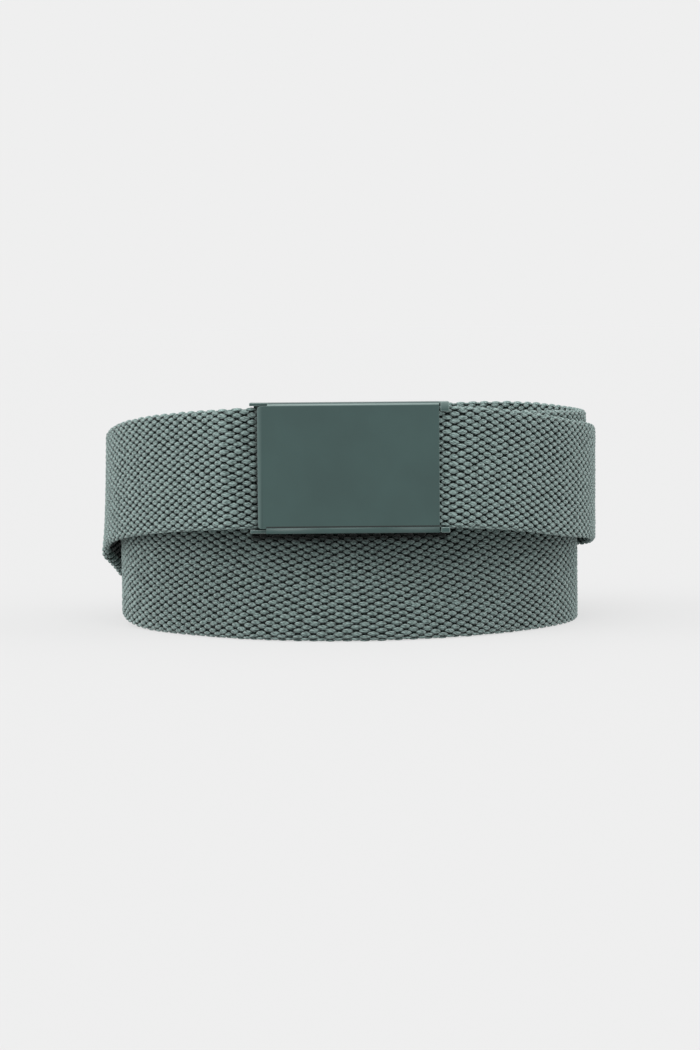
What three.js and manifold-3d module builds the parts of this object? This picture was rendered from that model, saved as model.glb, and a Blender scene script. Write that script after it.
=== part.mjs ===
// A canvas web belt with a plate buckle, fastened and rolled up in two turns and a free end.
// Millimetres, +Z up. The belt stands on its web's edge, with the buckle to the front (-Y) and the free end leaving
// the buckle to the right (+X), inside the turn that starts there.
import * as THREE from "three";
import { mergeVertices } from "three/addons/utils/BufferGeometryUtils.js";
import Module from "manifold-3d";

const wasm = await Module();
wasm.setup();

// The web: a thick cotton webbing
const WEB_WIDTH = 38;
const WEB_THICKNESS = 2.4;
const EDGE_DROP = 0.7; // how far down the woven edge starts to round off
const EDGE_FLAT = 1; // what stays flat along the very edge

// The roll: its largest radius, on the outer face, and the gap between turns
const COIL_RADIUS = 82.4;
const TURN_GAP = 0.7;

// The buckle: a frame, C-shaped in section, with a plate in front of it
const FRAME_LENGTH = 62.6;
const FRAME_SHEET = 1;
const FRAME_ROOM = 1; // what the channel's height leaves over the web's width
const BACK_SHORTER = 1.3; // how far the flanges stand out past the back plate at the left
const LUG_WIDTH = 2.7; // the right-hand lugs, folded over the front of the web
const TOP_LUG_DROP = 3;
const BOTTOM_LUG_RISE = 1.7;
const LUG_FRONT = 0.2; // how far the lugs stand out past the plate's front
const PLATE_SHEET = 0.8;
const PLATE_SHORTER = 2.55; // how far the flanges stand out past the plate at the left
const TOP_BEND = 1; // height of the plate's upper bent edge
const BOTTOM_BEND = 1.6; // height of its lower one
const RIM_DEPTH = 2.6; // how far back the plate's bent edges reach
const RIM_START = 3; // where the bent edges begin, from the plate's left end
const RIM_SLANT = 0.7;
const PLATE_CORNER = 1.1;
const EXIT_ROOM = 3; // how far the web runs on straight past the buckle's ends
const PIN_DIAMETER = 2.5;
const PIN_SIDES = 20;
const PIN_PLACE = -10; // along the web from the frame's middle
const FIXED_END_DEPTH = 11.3; // how far inside the buckle's right end the fixed end stops
const CLAMP_WIDTH = 5;

// Clearances
const METAL_GAP = 0.3; // between two hard pieces
const WEB_GAP = 0.4; // between the web and a hard piece, or two webs in the buckle
const LUG_GAP = 0.45; // between the plate's right end and the lugs
const EXIT_BEND = 0.8; // how softly the web turns from the buckle's straight into the round

// How the web runs. Each row is one place on its way: turn is the angle from the front, growing to the right.
// swell is the roll's outline there (share of the coil radius) and inset counts turns of web inwards from it.
// tuck moves the foot, which is the lower edge, inwards, and foot is its height (both shares of the web's width).
// lean is how far the web's top tips inwards, in degrees.
const RUN = [
  { turn: 0, swell: 1, inset: 0, tuck: 0, foot: 0.925, lean: 0 },
  { turn: 24, swell: 1, inset: 0, tuck: 0, foot: 0.925, lean: 0 },
  { turn: 38, swell: 1, inset: 0, tuck: 0, foot: 0.89, lean: 0 },
  { turn: 60, swell: 1, inset: 0, tuck: 0, foot: 0.79, lean: 0 },
  { turn: 90, swell: 1, inset: 0, tuck: 0, foot: 0.68, lean: 0 },
  { turn: 106, swell: 1, inset: 0, tuck: 0.015, foot: 0.6, lean: 2 },
  { turn: 125, swell: 1, inset: 0, tuck: 0.025, foot: 0.64, lean: 6 },
  { turn: 150, swell: 1, inset: 0, tuck: 0.104, foot: 0.8, lean: 15 },
  { turn: 168, swell: 1, inset: 0, tuck: 0.2, foot: 0.91, lean: 21 },
  { turn: 184, swell: 1, inset: 1, tuck: 0.236, foot: 0.945, lean: 23 },
  { turn: 197, swell: 1, inset: 1.55, tuck: 0.233, foot: 0.955, lean: 22.5 },
  { turn: 209, swell: 1, inset: 2, tuck: 0.213, foot: 0.935, lean: 21 },
  { turn: 221, swell: 1, inset: 2, tuck: 0.142, foot: 0.84, lean: 17.8 },
  { turn: 235, swell: 1, inset: 2, tuck: 0.035, foot: 0.62, lean: 12.5 },
  { turn: 250, swell: 1.005, inset: 2, tuck: -0.03, foot: 0.33, lean: 6 },
  { turn: 270, swell: 1.01, inset: 2, tuck: 0, foot: 0.098, lean: 0 },
  { turn: 285, swell: 1.003, inset: 2, tuck: 0, foot: 0.03, lean: 0 },
  { turn: 300, swell: 0.992, inset: 2, tuck: 0, foot: 0, lean: 2 },
  { turn: 320, swell: 0.995, inset: 2, tuck: 0, foot: 0, lean: 8 },
  { turn: 340, swell: 1.035, inset: 2, tuck: 0, foot: 0, lean: 20 },
  { turn: 360, swell: 1.052, inset: 2, tuck: 0, foot: 0, lean: 28 },
  { turn: 380, swell: 1.025, inset: 2, tuck: 0, foot: 0, lean: 24 },
  { turn: 400, swell: 0.995, inset: 2, tuck: 0, foot: 0, lean: 14 },
  { turn: 420, swell: 0.99, inset: 2, tuck: 0, foot: 0, lean: 6 },
  { turn: 450, swell: 1.004, inset: 2, tuck: 0, foot: 0, lean: 0 },
  { turn: 466, swell: 1, inset: 2, tuck: -0.005, foot: 0, lean: 2 },
  { turn: 485, swell: 1, inset: 2, tuck: -0.04, foot: 0, lean: 6 },
  { turn: 510, swell: 1, inset: 2, tuck: -0.11, foot: 0, lean: 15 },
  { turn: 528, swell: 1, inset: 2, tuck: -0.15, foot: 0, lean: 21 },
  { turn: 544, swell: 1, inset: 2, tuck: -0.165, foot: 0, lean: 23 },
  { turn: 557, swell: 1, inset: 1.45, tuck: -0.16, foot: 0, lean: 22.5 },
  { turn: 569, swell: 1, inset: 1, tuck: -0.145, foot: 0, lean: 21 },
  { turn: 581, swell: 1, inset: 0.6, tuck: -0.12, foot: 0.04, lean: 17.8 },
  { turn: 595, swell: 1, inset: 0.2, tuck: -0.08, foot: 0.16, lean: 12.5 },
  { turn: 610, swell: 1, inset: 0, tuck: -0.03, foot: 0.375, lean: 6 },
  { turn: 622, swell: 1.003, inset: 0, tuck: 0, foot: 0.515, lean: 3 },
  { turn: 630, swell: 1.006, inset: 0, tuck: 0, foot: 0.64, lean: 2 },
  { turn: 645, swell: 0.99, inset: 0, tuck: 0, foot: 0.755, lean: 2 },
  { turn: 660, swell: 0.965, inset: 0, tuck: 0, foot: 0.83, lean: 1 },
  { turn: 675, swell: 0.96, inset: 0, tuck: 0, foot: 0.88, lean: 0 },
  { turn: 685, swell: 0.98, inset: 0, tuck: 0, foot: 0.905, lean: 0 },
  { turn: 696, swell: 1, inset: 0, tuck: 0, foot: 0.925, lean: 0 },
  { turn: 720, swell: 1, inset: 0.5, tuck: 0, foot: 0.925, lean: 0 },
  { turn: 744, swell: 1, inset: 1, tuck: 0, foot: 0.925, lean: 0 },
  { turn: 758, swell: 1, inset: 1, tuck: 0, foot: 0.885, lean: 0 },
  { turn: 780, swell: 1, inset: 1, tuck: 0, foot: 0.86, lean: 0 },
  { turn: 810, swell: 1, inset: 1, tuck: 0, foot: 0.84, lean: 0 },
  { turn: 826, swell: 1, inset: 1, tuck: 0.02, foot: 0.86, lean: 2 },
  { turn: 845, swell: 1, inset: 1, tuck: 0.052, foot: 0.89, lean: 6 },
  { turn: 864, swell: 1, inset: 1, tuck: 0.113, foot: 0.9, lean: 12.8 },
  { turn: 874, swell: 1, inset: 1, tuck: 0.147, foot: 0.9, lean: 16.4 },
];
const FREE_END_TURN = 874;
const STEP = 3; // degrees between sections of the web
const FINE_STEP = 1.5; // the same where it bends beside the buckle
const FINE_REACH = 36; // how far round from the front the fine steps go
const BUCKLE_REACH = 60; // how far round the buckle can draw the web out of the round
const CURVE_SEGMENTS = 5; // of each drawn bend and corner

// Colours of the photographed belt
const WEB_FINISH = { color: 0x6b7f78, roughness: 0.95, metalness: 0 };
const PAINT_FINISH = { color: 0x465a58, roughness: 0.45, metalness: 0.2 };
const STEEL_FINISH = { color: 0x7d8583, roughness: 0.4, metalness: 0.8 };

// Depths in the buckle, back from the plate's front, each from the one before
const fixedWebMiddle = PLATE_SHEET + WEB_GAP + WEB_THICKNESS / 2;
const passingWebMiddle = fixedWebMiddle + WEB_THICKNESS + WEB_GAP;
const backPlateFront = passingWebMiddle + WEB_THICKNESS / 2 + WEB_GAP;
const frameBack = backPlateFront + FRAME_SHEET;
const flangeFront = RIM_DEPTH + METAL_GAP;

// The plate's front from the middle of the roll: there the round web meets its straight stretch in the buckle
const straightHalf = FRAME_LENGTH / 2 + EXIT_ROOM;
const faceFront = fixedWebMiddle + Math.sqrt((COIL_RADIUS - WEB_THICKNESS / 2) ** 2 - straightHalf ** 2);

// Places along the web, from the frame's middle
const fixedEnd = FRAME_LENGTH / 2 - FIXED_END_DEPTH;
const plateLeft = -FRAME_LENGTH / 2 + PLATE_SHORTER;
const plateRight = FRAME_LENGTH / 2 - LUG_WIDTH - LUG_GAP;

// Heights in the buckle
const channelHeight = WEB_WIDTH + FRAME_ROOM;
const frameHeight = channelHeight + 2 * FRAME_SHEET;
const buckleFoot = RUN[0].foot * WEB_WIDTH - METAL_GAP - FRAME_SHEET;
const buckleMiddle = buckleFoot + frameHeight / 2;
const flatTop = frameHeight / 2 - TOP_BEND;
const flatBottom = BOTTOM_BEND - frameHeight / 2;

const rowTurns = RUN.map((row) => row.turn);
const columns = ["swell", "inset", "tuck", "foot", "lean"];
const rowValues = RUN.flatMap((row) => columns.map((name) => row[name]));
const along = new THREE.CubicInterpolant(rowTurns, rowValues, columns.length);

// The table's values at any turn, smoothly between its rows.
function runAt(turn) {
  const [swell, inset, tuck, foot, lean] = along.evaluate(turn);
  return { swell, inset, tuck, foot: Math.max(foot, 0) * WEB_WIDTH, lean: THREE.MathUtils.degToRad(lean) };
}

// The smaller of two lengths, with a soft change from one to the other.
function softMin(a, b) {
  const overlap = Math.max(EXIT_BEND - Math.abs(a - b), 0);
  return Math.min(a, b) - (overlap * overlap) / (4 * EXIT_BEND);
}

// Which time past the front a turn is nearest to: 0 starts in the buckle, 1 runs low under it, 2 goes through it.
function passOf(turn) {
  return Math.round(turn / 360);
}

// Degrees from the nearest front, where the buckle is.
function fromFront(turn) {
  return turn - 360 * passOf(turn);
}

// The middle of the web's section at a turn, over a flat foot.
function middleAt(turn) {
  const { swell, inset, tuck, foot, lean } = runAt(turn);
  const angle = THREE.MathUtils.degToRad(turn);
  const layer = WEB_THICKNESS + TURN_GAP;
  const footRadius = COIL_RADIUS * swell - WEB_THICKNESS / 2 - inset * layer - tuck * WEB_WIDTH;
  let radius = footRadius - (WEB_WIDTH / 2) * Math.sin(lean);
  if (passOf(turn) !== 1 && Math.abs(fromFront(turn)) < BUCKLE_REACH) {
    const depth = passOf(turn) === 0 ? fixedWebMiddle : passingWebMiddle;
    radius = softMin(radius, (faceFront - depth) / Math.cos(angle));
  }
  const height = foot + (WEB_WIDTH / 2) * Math.cos(lean);
  return new THREE.Vector3(radius * Math.sin(angle), -radius * Math.cos(angle), height);
}

// The web's section: a flat band whose woven edges round off.
function webSection() {
  const side = WEB_THICKNESS / 2;
  const top = WEB_WIDTH / 2;
  const flat = EDGE_FLAT / 2;
  const shoulder = top - EDGE_DROP;
  return [
    [side, -shoulder],
    [side, shoulder],
    [flat, top],
    [-flat, top],
    [-side, shoulder],
    [-side, -shoulder],
    [-flat, -top],
    [flat, -top],
  ];
}

// One section of the web in space, its lowest point at the foot's height.
function sectionAt(turn) {
  const sample = 0.5;
  const middle = middleAt(turn);
  const forward = middleAt(turn + sample).sub(middleAt(turn - sample)).normalize();
  const outward = new THREE.Vector3(forward.y, -forward.x, 0).normalize();
  const upward = outward.clone().cross(forward);
  const { foot, lean } = runAt(turn);
  const across = outward.clone().multiplyScalar(Math.cos(lean)).addScaledVector(upward, Math.sin(lean));
  const up = upward.multiplyScalar(Math.cos(lean)).addScaledVector(outward, -Math.sin(lean));
  const points = webSection().map(([a, b]) => middle.clone().addScaledVector(across, a).addScaledVector(up, b));
  const rise = foot - Math.min(...points.map((point) => point.z));
  points.forEach((point) => (point.z += rise));
  return points;
}

// The turns at which the web gets a section, closer together beside the buckle.
function stations() {
  const start = THREE.MathUtils.radToDeg(Math.atan2(fixedEnd, faceFront - fixedWebMiddle));
  const turns = [start];
  while (turns.at(-1) < FREE_END_TURN) {
    const last = turns.at(-1);
    const step = Math.abs(fromFront(last)) < FINE_REACH ? FINE_STEP : STEP;
    turns.push(Math.min(last + step, FREE_END_TURN));
  }
  return turns;
}

// A closed skin over a row of like sections, with a flat cap at each end.
function skin(sections) {
  const count = sections[0].length;
  const position = sections.flat().flatMap((point) => point.toArray());
  const index = [];
  for (let row = 0; row < sections.length - 1; row++) {
    for (let side = 0; side < count; side++) {
      const a = row * count + side;
      const b = row * count + ((side + 1) % count);
      index.push(a, a + count, b, b, a + count, b + count);
    }
  }
  const last = (sections.length - 1) * count;
  for (let side = 1; side < count - 1; side++) {
    index.push(0, side, side + 1);
    index.push(last, last + side + 1, last + side);
  }
  const geometry = new THREE.BufferGeometry();
  geometry.setAttribute("position", new THREE.Float32BufferAttribute(position, 3));
  geometry.setIndex(index);
  return geometry;
}

// A closed geometry as a solid that can be joined and cut.
function solid(geometry) {
  const bare = geometry.clone();
  bare.deleteAttribute("normal");
  bare.deleteAttribute("uv");
  const merged = mergeVertices(bare);
  const vertProperties = merged.attributes.position.array;
  const triVerts = new Uint32Array(merged.index.array);
  return new wasm.Manifold(new wasm.Mesh({ numProp: 3, vertProperties, triVerts }));
}

function geometryOf(made) {
  const { vertProperties, triVerts } = made.getMesh();
  const geometry = new THREE.BufferGeometry();
  geometry.setAttribute("position", new THREE.BufferAttribute(vertProperties, 3));
  geometry.setIndex(new THREE.BufferAttribute(triVerts, 1));
  return geometry;
}

// A box between two corners.
function block([x0, y0, z0], [x1, y1, z1]) {
  const geometry = new THREE.BoxGeometry(x1 - x0, y1 - y0, z1 - z0);
  return solid(geometry.translate((x0 + x1) / 2, (y0 + y1) / 2, (z0 + z1) / 2));
}

// A profile drawn in depth (Y) and height (Z), drawn out along the web (X).
function alongWeb(shape, x0, x1) {
  const geometry = new THREE.ExtrudeGeometry(shape, {
    depth: x1 - x0,
    bevelEnabled: false,
    curveSegments: CURVE_SEGMENTS,
  });
  geometry.rotateX(Math.PI / 2).rotateZ(Math.PI / 2);
  return solid(geometry.translate(x0, 0, 0));
}

function mesh(name, geometry, finish) {
  const made = new THREE.Mesh(geometry, new THREE.MeshStandardMaterial(finish));
  made.name = name;
  return made;
}

function web() {
  return mesh("web", skin(stations().map(sectionAt)), WEB_FINISH);
}

// The channel, with the two lugs at the right folded over the web's edges.
function buckleFrame() {
  const end = FRAME_LENGTH / 2;
  const half = frameHeight / 2;
  const inner = half - FRAME_SHEET;
  const lugFront = -LUG_FRONT;
  const lugBack = lugFront + FRAME_SHEET;
  const back = block([-end + BACK_SHORTER, backPlateFront, -half], [end, frameBack, half]);
  const top = block([-end, flangeFront, inner], [end, frameBack, half]);
  const bottom = block([-end, flangeFront, -half], [end, frameBack, -inner]);
  const topArm = block([end - LUG_WIDTH, lugFront, inner], [end, frameBack, half]);
  const bottomArm = block([end - LUG_WIDTH, lugFront, -half], [end, frameBack, -inner]);
  const topLug = block([end - LUG_WIDTH, lugFront, half - TOP_LUG_DROP], [end, lugBack, half]);
  const bottomLug = block([end - LUG_WIDTH, lugFront, -half], [end, lugBack, -half + BOTTOM_LUG_RISE]);
  const pieces = [top, bottom, topArm, bottomArm, topLug, bottomLug];
  const frame = pieces.reduce((whole, piece) => whole.add(piece), back);
  return mesh("buckle_frame", geometryOf(frame), PAINT_FINISH);
}

// The plate's section: a flat front whose top and bottom edges bend back to the flanges.
function plateProfile() {
  const half = frameHeight / 2;
  const shape = new THREE.Shape();
  shape.moveTo(0, flatBottom);
  shape.lineTo(0, flatTop);
  shape.quadraticCurveTo(0, half, RIM_DEPTH / 2, half);
  shape.lineTo(RIM_DEPTH, half);
  shape.lineTo(RIM_DEPTH, half - PLATE_SHEET);
  shape.lineTo(RIM_DEPTH / 2, half - PLATE_SHEET);
  shape.quadraticCurveTo(PLATE_SHEET, half - PLATE_SHEET, PLATE_SHEET, flatTop - PLATE_SHEET);
  shape.lineTo(PLATE_SHEET, flatBottom + PLATE_SHEET);
  shape.quadraticCurveTo(PLATE_SHEET, PLATE_SHEET - half, RIM_DEPTH / 2, PLATE_SHEET - half);
  shape.lineTo(RIM_DEPTH, PLATE_SHEET - half);
  shape.lineTo(RIM_DEPTH, -half);
  shape.lineTo(RIM_DEPTH / 2, -half);
  shape.quadraticCurveTo(0, -half, 0, flatBottom);
  return shape;
}

// The plate's outline from the front: no rims at the left end, where its corners are round.
function plateOutline() {
  const rim = plateLeft + RIM_START;
  const edge = frameHeight / 2 + PLATE_SHEET;
  const shape = new THREE.Shape();
  shape.moveTo(plateLeft, flatBottom + PLATE_CORNER);
  shape.quadraticCurveTo(plateLeft, flatBottom, plateLeft + PLATE_CORNER, flatBottom);
  shape.lineTo(rim, flatBottom);
  shape.lineTo(rim + RIM_SLANT, -edge);
  shape.lineTo(plateRight, -edge);
  shape.lineTo(plateRight, edge);
  shape.lineTo(rim + RIM_SLANT, edge);
  shape.lineTo(rim, flatTop);
  shape.lineTo(plateLeft + PLATE_CORNER, flatTop);
  shape.quadraticCurveTo(plateLeft, flatTop, plateLeft, flatTop - PLATE_CORNER);
  return shape;
}

function facePlate() {
  const bent = alongWeb(plateProfile(), plateLeft, plateRight);
  const outline = new THREE.ExtrudeGeometry(plateOutline(), {
    depth: 2 * RIM_DEPTH,
    bevelEnabled: false,
    curveSegments: CURVE_SEGMENTS,
  });
  outline.rotateX(Math.PI / 2).translate(0, 1.5 * RIM_DEPTH, 0);
  const plate = bent.intersect(solid(outline));
  return mesh("face_plate", geometryOf(plate), PAINT_FINISH);
}

// The rod that grips the passing web, upright between the flanges.
function lockPin() {
  const geometry = new THREE.CylinderGeometry(
    PIN_DIAMETER / 2,
    PIN_DIAMETER / 2,
    channelHeight - 2 * METAL_GAP,
    PIN_SIDES,
  );
  geometry.rotateX(Math.PI / 2);
  const depth = passingWebMiddle - WEB_THICKNESS / 2 - METAL_GAP - PIN_DIAMETER / 2;
  return mesh("lock_pin", geometryOf(solid(geometry.translate(PIN_PLACE, depth, 0))), STEEL_FINISH);
}

// The bar that the web's fixed end is held on, in line with it.
function clampBar() {
  const right = fixedEnd - METAL_GAP;
  const half = channelHeight / 2 - METAL_GAP;
  const front = fixedWebMiddle - WEB_THICKNESS / 2;
  const bar = block([right - CLAMP_WIDTH, front, -half], [right, front + WEB_THICKNESS, half]);
  return mesh("clamp_bar", geometryOf(bar), STEEL_FINISH);
}

const buckle = new THREE.Group();
buckle.position.set(0, -faceFront, buckleMiddle);
buckle.add(buckleFrame(), facePlate(), lockPin(), clampBar());

// The belt's own origin is on the floor, under the middle of the roll's box.
const belt = new THREE.Group();
belt.add(web(), buckle);
const box = new THREE.Box3().setFromObject(belt, true);
const middle = box.getCenter(new THREE.Vector3());
belt.position.set(-middle.x, -middle.y, -box.min.z);

export default belt;
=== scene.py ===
# %% [markdown]
# A canvas web belt lies rolled up on a pale table, fastened through its plate buckle. The belt has two
# kinds of surface. The web is thick cotton webbing, whose plump yarns show one by one. The buckle is
# pressed steel under satin paint. This lesson dresses both, piece by piece.
#
# The CAD model is already there: a plain band for the web, and the buckle's sheet metal. It is loaded first
# and never moved. Everything made here is in metres in that same frame, so nothing needs fitting
# afterwards.

# %% Load the CAD model
import math

import bmesh
import bpy
import numpy as np
from mathutils import Euler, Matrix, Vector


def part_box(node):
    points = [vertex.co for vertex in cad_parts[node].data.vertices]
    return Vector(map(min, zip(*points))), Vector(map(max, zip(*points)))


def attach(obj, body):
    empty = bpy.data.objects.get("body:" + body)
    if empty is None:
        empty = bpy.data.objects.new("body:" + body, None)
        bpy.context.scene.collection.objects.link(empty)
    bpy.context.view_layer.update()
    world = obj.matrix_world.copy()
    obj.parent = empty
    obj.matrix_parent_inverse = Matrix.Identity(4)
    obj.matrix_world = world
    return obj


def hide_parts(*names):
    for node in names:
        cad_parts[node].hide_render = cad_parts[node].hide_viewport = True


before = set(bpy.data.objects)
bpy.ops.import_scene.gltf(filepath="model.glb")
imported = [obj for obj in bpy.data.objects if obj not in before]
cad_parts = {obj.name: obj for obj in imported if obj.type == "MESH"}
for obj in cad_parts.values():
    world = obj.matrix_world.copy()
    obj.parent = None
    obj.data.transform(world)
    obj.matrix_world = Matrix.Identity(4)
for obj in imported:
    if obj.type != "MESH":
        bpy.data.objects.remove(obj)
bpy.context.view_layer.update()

MM = 0.001

# %% [markdown]
# The camera comes next, because it decides how fine the details have to be. The outlines in the photograph
# fit a long lens about a metre away, a little above the belt. Such a lens flattens depth, so a wrong lens
# would change the roll's outline even if every piece had its right size. The horizon's height in the
# picture gives the downward tilt, and the picture leans by half a degree.

# %% Set up the camera
IMAGE_HEIGHT = 1050
FOCAL_PIXELS = 3200
HORIZON_PIXEL = 323
LONG_SIDE_SENSOR = 36
CAMERA_DISTANCE = 1.0
CAMERA_HEIGHT = 99.6 * MM
PICTURE_LEAN = math.radians(0.5)


def add_camera():
    """A camera straight in front of the buckle, tilted down so that the horizon lies at its pixel."""
    plate_low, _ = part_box("face_plate")
    frame_low, frame_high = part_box("buckle_frame")
    data = bpy.data.cameras.new("camera")
    data.sensor_width = LONG_SIDE_SENSOR
    data.lens = LONG_SIDE_SENSOR * FOCAL_PIXELS / IMAGE_HEIGHT
    camera = bpy.data.objects.new("camera", data)
    bpy.context.scene.collection.objects.link(camera)
    camera.location = ((frame_low.x + frame_high.x) / 2, plate_low.y - CAMERA_DISTANCE, CAMERA_HEIGHT)
    tilt = math.atan((IMAGE_HEIGHT / 2 - HORIZON_PIXEL) / FOCAL_PIXELS)
    look = Euler((math.pi / 2 - tilt, 0, 0)).to_matrix()
    lean = Euler((0, 0, -PICTURE_LEAN)).to_matrix()
    camera.rotation_euler = (look @ lean).to_euler()
    bpy.context.scene.camera = camera
    print("lens", round(data.lens, 1), "mm, tilted down", round(math.degrees(tilt), 2), "degrees")


add_camera()

# %% [markdown]
# The belt stands on a plain pale ground that runs into a pale background, with no line between them. A
# curved paper roll would do it in a studio, but its curve catches more light than its flat and shows as a
# band. Here the ground is one very large flat sheet under an even pale sky. Both come out equally bright,
# so the horizon vanishes.

# %% Lay the pale ground
GROUND_RADIUS = 60
GROUND_SIDES = 64


def add_ground():
    """A wide flat disc around the belt."""
    mesh = bpy.data.meshes.new("ground")
    angles = [2 * math.pi * k / GROUND_SIDES for k in range(GROUND_SIDES)]
    rim = [(GROUND_RADIUS * math.cos(angle), GROUND_RADIUS * math.sin(angle), 0) for angle in angles]
    mesh.from_pydata(rim, [], [tuple(range(GROUND_SIDES))])
    ground = bpy.data.objects.new("ground", mesh)
    bpy.context.scene.collection.objects.link(ground)
    return ground


ground = add_ground()

# %% [markdown]
# The photograph's light is plain studio light, very even: a pale surround does most of it. Three weaker
# soft sources help: one above brightens the upper side of every yarn, and one on either side lifts the
# belt's flanks. No shadow in the photograph has a sharp edge, so all three are wide. Hardly any shadow
# shows on the ground, as on a table of white acrylic lit from below, so the ground here glows a little by
# itself. Sun lamps with a wide angle light the whole ground evenly, which area lamps near the belt would
# not. The ground's own grey is worked out from the light, so that it comes out exactly as bright as the
# sky.

# %% Light the table
SKY_BRIGHTNESS = 0.863
# Each source: height above the ground, turn to the side and width, all in degrees, and brightness
SOURCES = {
    "top_softbox": (55, -6, 60, 0.55),
    "left_softbox": (20, -80, 50, 0.44),
    "right_softbox": (20, 80, 50, 0.26),
}
GLOW_SHARE = 0.72


def ground_grey():
    """The grey that makes the ground as bright as the sky, together with its glow."""
    falling = SKY_BRIGHTNESS
    for height, _, _, brightness in SOURCES.values():
        falling += brightness * math.sin(math.radians(height))
    return (1 - GLOW_SHARE) * SKY_BRIGHTNESS / falling


def add_source(name, height, side, width, brightness):
    """A soft source, wide and far away."""
    data = bpy.data.lights.new(name, "SUN")
    data.energy = brightness * math.pi
    data.angle = math.radians(width)
    lamp = bpy.data.objects.new(name, data)
    lamp.rotation_euler = (math.radians(90 - height), 0, math.radians(side))
    bpy.context.scene.collection.objects.link(lamp)


def add_surround():
    """A pale sky all round."""
    world = bpy.data.worlds.new("surround")
    world.use_nodes = True
    background = world.node_tree.nodes["Background"]
    background.inputs["Color"].default_value = (1, 1, 1, 1)
    background.inputs["Strength"].default_value = SKY_BRIGHTNESS
    bpy.context.scene.world = world
    bpy.context.scene.view_settings.view_transform = "Standard"


add_surround()
for name, source in SOURCES.items():
    add_source(name, *source)
GROUND_GREY = ground_grey()
print("the ground's grey is", round(GROUND_GREY, 3))

# %% [markdown]
# The web is one long band. It starts at its fixed end in the buckle, goes once round at the height of the
# buckle, dips to a second turn that stands on the table, climbs back, passes through the buckle and ends
# behind it. The real thing is simply wound by hand. Here the same table of places describes the way as in
# the CAD model, so the tops of the yarns lie on the plain band's surface. A curve object could follow the
# same way, but then the band's lean would be hard to steer, and lean is what shows most in the lower turn.
# Lengths are in millimetres here.

# %% Describe the web's way round
WEB_WIDTH = 38
WEB_THICKNESS = 2.4
EDGE_FLAT = 1
COIL_RADIUS = 82.4
TURN_GAP = 0.7
BUCKLE_REACH = 60
EXIT_BEND = 0.8
PLATE_SHEET = 0.8
WEB_GAP = 0.4
EXIT_ROOM = 3
FIXED_END_DEPTH = 11.3
FREE_END_TURN = 874

# Columns: turn (degrees from the front, to the right), swell of the roll's outline, inset (webs inwards),
# tuck of the foot inwards and height of the foot (both shares of the web's width), lean of the top inwards
# (degrees)
RUN = np.array([
    (0, 1, 0, 0, 0.925, 0),
    (24, 1, 0, 0, 0.925, 0),
    (38, 1, 0, 0, 0.89, 0),
    (60, 1, 0, 0, 0.79, 0),
    (90, 1, 0, 0, 0.68, 0),
    (106, 1, 0, 0.015, 0.6, 2),
    (125, 1, 0, 0.025, 0.64, 6),
    (150, 1, 0, 0.104, 0.8, 15),
    (168, 1, 0, 0.2, 0.91, 21),
    (184, 1, 1, 0.236, 0.945, 23),
    (197, 1, 1.55, 0.233, 0.955, 22.5),
    (209, 1, 2, 0.213, 0.935, 21),
    (221, 1, 2, 0.142, 0.84, 17.8),
    (235, 1, 2, 0.035, 0.62, 12.5),
    (250, 1.005, 2, -0.03, 0.33, 6),
    (270, 1.01, 2, 0, 0.098, 0),
    (285, 1.003, 2, 0, 0.03, 0),
    (300, 0.992, 2, 0, 0, 2),
    (320, 0.995, 2, 0, 0, 8),
    (340, 1.035, 2, 0, 0, 20),
    (360, 1.052, 2, 0, 0, 28),
    (380, 1.025, 2, 0, 0, 24),
    (400, 0.995, 2, 0, 0, 14),
    (420, 0.99, 2, 0, 0, 6),
    (450, 1.004, 2, 0, 0, 0),
    (466, 1, 2, -0.005, 0, 2),
    (485, 1, 2, -0.04, 0, 6),
    (510, 1, 2, -0.11, 0, 15),
    (528, 1, 2, -0.15, 0, 21),
    (544, 1, 2, -0.165, 0, 23),
    (557, 1, 1.45, -0.16, 0, 22.5),
    (569, 1, 1, -0.145, 0, 21),
    (581, 1, 0.6, -0.12, 0.04, 17.8),
    (595, 1, 0.2, -0.08, 0.16, 12.5),
    (610, 1, 0, -0.03, 0.375, 6),
    (622, 1.003, 0, 0, 0.515, 3),
    (630, 1.006, 0, 0, 0.64, 2),
    (645, 0.99, 0, 0, 0.755, 2),
    (660, 0.965, 0, 0, 0.83, 1),
    (675, 0.96, 0, 0, 0.88, 0),
    (685, 0.98, 0, 0, 0.905, 0),
    (696, 1, 0, 0, 0.925, 0),
    (720, 1, 0.5, 0, 0.925, 0),
    (744, 1, 1, 0, 0.925, 0),
    (758, 1, 1, 0, 0.885, 0),
    (780, 1, 1, 0, 0.86, 0),
    (810, 1, 1, 0, 0.84, 0),
    (826, 1, 1, 0.02, 0.86, 2),
    (845, 1, 1, 0.052, 0.89, 6),
    (864, 1, 1, 0.113, 0.9, 12.8),
    (874, 1, 1, 0.147, 0.9, 16.4),
])
print("the web's way has", len(RUN), "chosen places")

# %% [markdown]
# Between its rows the table is read with a smooth cubic, the same one that the CAD model uses. Each stretch
# takes its shape from the rows at its two ends and from one more on either side. A library spline would be
# shorter to call, but between the rows it would run beside the CAD band, and the plate has only 0.4 mm of
# room behind it.


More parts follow.
